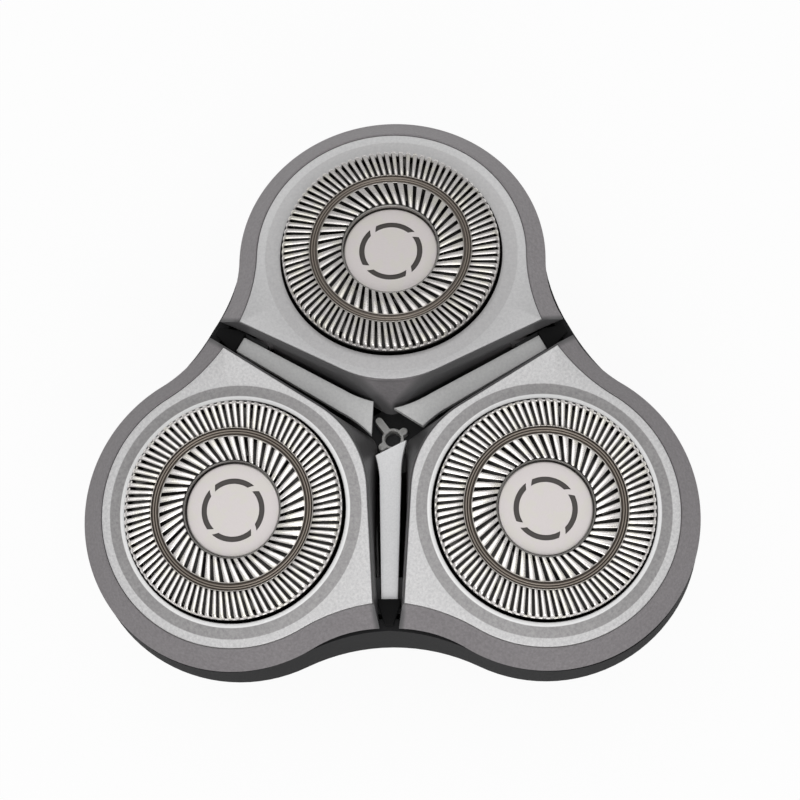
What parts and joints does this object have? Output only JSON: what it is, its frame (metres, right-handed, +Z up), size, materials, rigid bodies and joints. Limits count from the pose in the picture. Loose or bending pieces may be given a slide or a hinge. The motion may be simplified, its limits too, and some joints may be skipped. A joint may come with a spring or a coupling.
{
  "type": "rotary shaver head",
  "caption": "Three-lobed rotary shaver head: tilting lobes with slotted guard caps over spinning cutters, on a geared base with a push-on coupling collar.",
  "frame": {"origin": "centre of the coupling collar's mouth, on the hub axis", "axes": "+Z up along the hub axis out of the shaving face, +Y towards one lobe, +X to the right of it"},
  "size_m": [0.0618, 0.0578, 0.0273],
  "materials": {
    "skirt_plastic": "satin warm grey",
    "silver_plastic": "satin silver paint",
    "cap_steel": "ground and polished",
    "disc_steel": "satin",
    "bright_steel": "bright",
    "dark_plastic": "dark grey",
    "black_plastic": "black",
    "grey_plastic": "light grey",
    "gear_plastic": "natural white",
    "seal_rubber": "soft black"
  },
  "bodies": {
    "base": {"base_bowl": "dark_plastic", "shaft_seal": "seal_rubber", "gear_cover": "black_plastic", "carrier_frame": "black_plastic", "centre_star": "grey_plastic", "cover_screw_1": "bright_steel", "cover_screw_2": "bright_steel", "cover_screw_3": "bright_steel", "cover_strip_1": "silver_plastic", "cover_strip_2": "silver_plastic", "cover_strip_3": "silver_plastic", "hinge_block_1": "black_plastic", "hinge_block_2": "black_plastic", "hinge_block_3": "black_plastic", "lobe_spring_1": "bright_steel", "lobe_spring_2": "bright_steel", "lobe_spring_3": "bright_steel"},
    "main_gear": {"central_gear": "gear_plastic"},
    "gear_1": {"drive_gear_1": "gear_plastic", "spindle_spring_1": "bright_steel"},
    "spindle_1": {"drive_spindle_1": "gear_plastic"},
    "lobe_1": {"holder_1": "skirt_plastic", "face_plate_1": "silver_plastic", "retaining_ring_1": "black_plastic"},
    "cap_1": {"guard_cap_1": "cap_steel", "cap_disc_1": "disc_steel"},
    "cutter_1": {"cutter_blades_1": "cap_steel", "cutter_hub_1": "grey_plastic"},
    "gear_2": {"drive_gear_2": "gear_plastic", "spindle_spring_2": "bright_steel"},
    "spindle_2": {"drive_spindle_2": "gear_plastic"},
    "lobe_2": {"holder_2": "skirt_plastic", "face_plate_2": "silver_plastic", "retaining_ring_2": "black_plastic"},
    "cap_2": {"guard_cap_2": "cap_steel", "cap_disc_2": "disc_steel"},
    "cutter_2": {"cutter_blades_2": "cap_steel", "cutter_hub_2": "grey_plastic"},
    "gear_3": {"drive_gear_3": "gear_plastic", "spindle_spring_3": "bright_steel"},
    "spindle_3": {"drive_spindle_3": "gear_plastic"},
    "lobe_3": {"holder_3": "skirt_plastic", "face_plate_3": "silver_plastic", "retaining_ring_3": "black_plastic"},
    "cap_3": {"guard_cap_3": "cap_steel", "cap_disc_3": "disc_steel"},
    "cutter_3": {"cutter_blades_3": "cap_steel", "cutter_hub_3": "grey_plastic"}
  },
  "joints": [
    {"name": "central_gear_spin", "type": "hinge", "parent": "base", "child": "main_gear", "pos_m": [0, 0, 0.009], "axis": [0, 0, 1], "continuous": true},
    {"name": "drive_gear_spin_1", "type": "hinge", "parent": "base", "child": "gear_1", "pos_m": [0, 0.0175, 0.009], "axis": [0, 0, 1], "continuous": true},
    {"name": "lobe_tilt_1", "type": "hinge", "parent": "base", "child": "lobe_1", "pos_m": [0, 0.00935, 0.0208], "axis": [-1, 0, 0], "range_deg": [-2, 3], "stiffness_Nm_per_rad": 0.1, "deforming": ["lobe_spring_1"]},
    {"name": "cap_press_1", "type": "slide", "parent": "lobe_1", "child": "cap_1", "axis": [0, 0.1423, 0.9898], "range_m": [-0.001, 0], "stiffness_N_per_m": 600},
    {"name": "spindle_slide_1", "type": "slide", "parent": "gear_1", "child": "spindle_1", "axis": [0, 0, 1], "range_m": [-0.001, 0], "deforming": ["spindle_spring_1"]},
    {"name": "cutter_spin_1", "type": "hinge", "parent": "cap_1", "child": "cutter_1", "pos_m": [0, 0.01775, 0.024], "axis": [0, 0.1423, 0.9898], "continuous": true},
    {"name": "drive_gear_spin_2", "type": "hinge", "parent": "base", "child": "gear_2", "pos_m": [-0.01516, -0.00875, 0.009], "axis": [0, 0, 1], "continuous": true},
    {"name": "lobe_tilt_2", "type": "hinge", "parent": "base", "child": "lobe_2", "pos_m": [-0.0081, -0.00468, 0.0208], "axis": [0.5, -0.866, 0], "range_deg": [-2, 3], "stiffness_Nm_per_rad": 0.1, "deforming": ["lobe_spring_2"]},
    {"name": "cap_press_2", "type": "slide", "parent": "lobe_2", "child": "cap_2", "axis": [-0.1232, -0.0711, 0.9898], "range_m": [-0.001, 0], "stiffness_N_per_m": 600},
    {"name": "spindle_slide_2", "type": "slide", "parent": "gear_2", "child": "spindle_2", "axis": [0, 0, 1], "range_m": [-0.001, 0], "deforming": ["spindle_spring_2"]},
    {"name": "cutter_spin_2", "type": "hinge", "parent": "cap_2", "child": "cutter_2", "pos_m": [-0.01537, -0.00887, 0.024], "axis": [-0.1232, -0.0711, 0.9898], "continuous": true},
    {"name": "drive_gear_spin_3", "type": "hinge", "parent": "base", "child": "gear_3", "pos_m": [0.01516, -0.00875, 0.009], "axis": [0, 0, 1], "continuous": true},
    {"name": "lobe_tilt_3", "type": "hinge", "parent": "base", "child": "lobe_3", "pos_m": [0.0081, -0.00468, 0.0208], "axis": [0.5, 0.866, 0], "range_deg": [-2, 3], "stiffness_Nm_per_rad": 0.1, "deforming": ["lobe_spring_3"]},
    {"name": "cap_press_3", "type": "slide", "parent": "lobe_3", "child": "cap_3", "axis": [0.1232, -0.0711, 0.9898], "range_m": [-0.001, 0], "stiffness_N_per_m": 600},
    {"name": "spindle_slide_3", "type": "slide", "parent": "gear_3", "child": "spindle_3", "axis": [0, 0, 1], "range_m": [-0.001, 0], "deforming": ["spindle_spring_3"]},
    {"name": "cutter_spin_3", "type": "hinge", "parent": "cap_3", "child": "cutter_3", "pos_m": [0.01537, -0.00887, 0.024], "axis": [0.1232, -0.0711, 0.9898], "continuous": true}
  ],
  "couplings": [
    {"joint": "drive_gear_spin_1", "follows": "central_gear_spin", "ratio": -1.5},
    {"joint": "cutter_spin_1", "follows": "central_gear_spin", "ratio": -1.5},
    {"joint": "spindle_slide_1", "follows": "cap_press_1", "ratio": 1},
    {"joint": "drive_gear_spin_2", "follows": "central_gear_spin", "ratio": -1.5},
    {"joint": "cutter_spin_2", "follows": "central_gear_spin", "ratio": -1.5},
    {"joint": "spindle_slide_2", "follows": "cap_press_2", "ratio": 1},
    {"joint": "drive_gear_spin_3", "follows": "central_gear_spin", "ratio": -1.5},
    {"joint": "cutter_spin_3", "follows": "central_gear_spin", "ratio": -1.5},
    {"joint": "spindle_slide_3", "follows": "cap_press_3", "ratio": 1}
  ]
}
